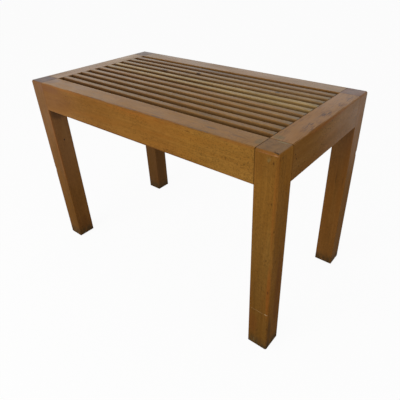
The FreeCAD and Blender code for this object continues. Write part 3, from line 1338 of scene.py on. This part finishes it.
# %% Slats' finish
slat_tones = [
    (144, 108, 62), (147, 111, 64), (147, 112, 65), (157, 120, 72), (154, 118, 74),
    (175, 145, 92), (176, 148, 96), (152, 121, 79), (160, 128, 85), (143, 113, 79),
]
first_slat_seed = 21
first_heart, heart_step = Vector((20, 40)), Vector((5, -7))
slat_ring_width = 2.4
flank_turns = {"slat_06": -60, "slat_07": -60}
usual_flank_turn = -220
flank_end = 220
left_and_right_brown = (0.9, 0.42)
front_dirt_and_shade, back_dirt_and_shade = Vector((0.15, 0.34)), Vector((0.48, 0.22))
end_stain = (X, 264, 292, 0.0, 0.4)
slat_coat = (X, 200, -290, 0.5, 0.77)
slat_haze = (X, 200, -290, 0.05, 0.27)
marks.update({
    "slat_08": [
        ((-134, 62, 448.5), (20, 4.5, 5), (52, 34, 20), 0.75),
        ((188.4, 65.5, 450), (9, 5, 3), (70, 62, 54), 0.8),
        ((165, 66, 450), (22, 4, 2), (150, 140, 125), 0.3),
    ],
    "slat_09": [((-44.7, 87.5, 448.5), (10, 4.5, 4), (54, 30, 18), 0.85)],
    "slat_10": [((-20, 118, 450), (150, 9, 3), (96, 78, 62), 0.6)],
})
for number, (node, tone) in enumerate(zip(slat_nodes, slat_tones)):
    timber = look_at(node, X, first_slat_seed + number)
    grain_layer(timber, tone, first_heart + heart_step * number, slat_ring_width)
    pore_layer(timber, dashes=0.6, specks=0.1)
    # The flanks' painted shade and dirt go from the front slats' amounts to the back slats'.
    left_and_right_dirt_and_shade = front_dirt_and_shade.lerp(back_dirt_and_shade, number / (len(slat_nodes) - 1))
    turn = flank_turns.get(node, usual_flank_turn)
    brown, dirt_and_shade = (
        along(timber, X, turn, flank_end, *ends)
        for ends in (left_and_right_brown, left_and_right_dirt_and_shade)
    )
    flank_layer(timber, brown, dirt_and_shade, facing_part=1.0)
    seat_layer(timber, flecks=0.35, smudges=0.3)
    for side in (-1, 1):
        shoulder = side * clear_length / 2 * millimetres
        seam_at(timber, X, shoulder, on_top=0.7, on_side=0.5, width=2.2)
    lay(timber, along(timber, *end_stain) * timber.up, smudge_colour)
    mark_all(timber, node)
    varnish(timber, along(timber, *slat_coat), along(timber, *slat_haze))
    give(timbers[node], timber.material)
print("slats finished:", len(slat_nodes))

# %% [markdown]
# ## Batten and screws
# Under the seat, the batten and its screws keep the shapes of their solids, which are right as
# they are. The batten is plain hardwood that was never varnished. The screws are brass gone dull:
# the metal shows where the brown film is thin.

# %% Batten and screws
batten_tone = (128, 92, 52)
brass = colour(176, 138, 70)
tarnish = colour(84, 62, 38)
film_patches = dict(long=3, short=3, detail=3, shift=0, start=0.35, end=0.65)
bright_roughness, film_roughness = 0.35, 0.3


def give_node(node, material):
    """Puts a finish into the slots of a solid that stays."""
    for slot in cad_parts[node].material_slots:
        slot.material = material
    print(node, "slots:", len(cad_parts[node].material_slots))


timber = look_at("centre_batten", Y, seed=41)
grain_layer(timber, batten_tone, heart=(30, 60))
pore_layer(timber, dashes=0.7, specks=0.15)
varnish(timber, coat=0.1, sides=0.05, roughness=0.7)
give_node("centre_batten", timber.material)

metal = look_at("batten_screws", Z, seed=42)
film = patches(metal, **film_patches)
rough = bright_roughness + film * film_roughness
tree = metal.material.node_tree
shader = tree.nodes["Principled BSDF"]
shader.inputs["Metallic"].default_value = 1
tree.links.new(blend_colour(film, brass, tarnish).socket, shader.inputs["Base Color"])
tree.links.new(rough.socket, shader.inputs["Roughness"])
give_node("batten_screws", metal.material)

# %% [markdown]
# ## Floor and room
# A pale floor under soft light keeps the bench's shadow. To the camera, and in reflections, most
# of the floor's white is its own, so the background is white without more light on the bench. The
# room is plain white to the camera too, and a softer grey to the wood. Each of the two is a mix
# of what is seen and what gives light.

# %% Floor
floor_size = 40
floor_white = 0.94
floor_pale = (0.85, 0.85, 0.85, 1)
floor_bounce = (0.4, 0.4, 0.4, 1)
white = (1, 1, 1, 1)


def seen_directly(tree):
    """1 for rays from the camera, and for those that come by way of a mirror or glass."""
    camera_rays, glossy_rays, glass_rays = (
        tree.node("ShaderNodeLightPath", output=f"Is {kind} Ray")
        for kind in ("Camera", "Glossy", "Transmission")
    )
    return camera_rays.most(glossy_rays).most(glass_rays)


def mix_shaders(tree, amount, first, second):
    return tree.node("ShaderNodeMixShader", {}, {0: amount, 1: first, 2: second})


bpy.ops.object.select_all(action="DESELECT")
bpy.ops.mesh.primitive_plane_add(size=floor_size)
floor = bpy.context.object
floor.name = "floor"
floor_finish = bpy.data.materials.new("pale_floor")
floor_finish.use_nodes = True
nodes = floor_finish.node_tree.nodes
nodes.remove(nodes["Principled BSDF"])
tree = Value(floor_finish.node_tree)
matt = tree.node("ShaderNodeBsdfDiffuse", {}, {"Color": floor_pale})
glow = tree.node("ShaderNodeEmission", {}, {"Color": white, "Strength": 1})
bounce = tree.node("ShaderNodeBsdfDiffuse", {}, {"Color": floor_bounce})
seen = mix_shaders(tree, floor_white, matt, glow)
surface = mix_shaders(tree, seen_directly(tree), bounce, seen)
tree.tree.links.new(surface.socket, nodes["Material Output"].inputs["Surface"])
floor.data.materials.append(floor_finish)
print("floor:", floor_size, "m")

# %% [markdown]
# The room is the world: its Background node is replaced by the same kind of mix.

# %% Room
room_light = 0.5

room = bpy.data.worlds.new("plain_room")
bpy.context.scene.world = room
room.use_nodes = True
nodes = room.node_tree.nodes
nodes.remove(nodes["Background"])
tree = Value(room.node_tree)
soft = tree.node("ShaderNodeBackground", {}, {"Color": white, "Strength": room_light})
plain = tree.node("ShaderNodeBackground", {}, {"Color": white, "Strength": 1})
surroundings = mix_shaders(tree, seen_directly(tree), soft, plain)
tree.tree.links.new(surroundings.socket, nodes["World Output"].inputs["Surface"])
bpy.context.scene.view_settings.view_transform = "Standard"
print("room light:", room_light)

# %% [markdown]
# ## The lamps
# A large soft lamp stands in front of the bench, a little above it, so the front is brightest,
# the top is a little darker and the right side is darkest, and the light falls off towards the
# feet, which painted shade in the legs' colour makes stronger. A weaker lamp at the right keeps
# the end of the bench from going black.

# %% Lamps
lamp_aim = Vector((0.0, -0.1, 0.42))


def soft_lamp(name, place, width, height, watts):
    """A rectangular lamp that faces the bench."""
    bpy.ops.object.light_add(type="AREA", location=place)
    lamp = bpy.context.object
    lamp.name = name
    lamp.data.shape = "RECTANGLE"
    lamp.data.size = width
    lamp.data.size_y = height
    lamp.data.energy = watts
    lamp.rotation_mode = "QUATERNION"
    lamp.rotation_quaternion = (lamp_aim - Vector(place)).to_track_quat("-Z", "Y")
    print("lamp:", name, watts, "W")


soft_lamp("front_lamp", place=(-0.25, -1.8, 0.95), width=1.6, height=1.1, watts=22)
soft_lamp("side_lamp", place=(2.5, -0.3, 0.85), width=1.4, height=1.1, watts=10)
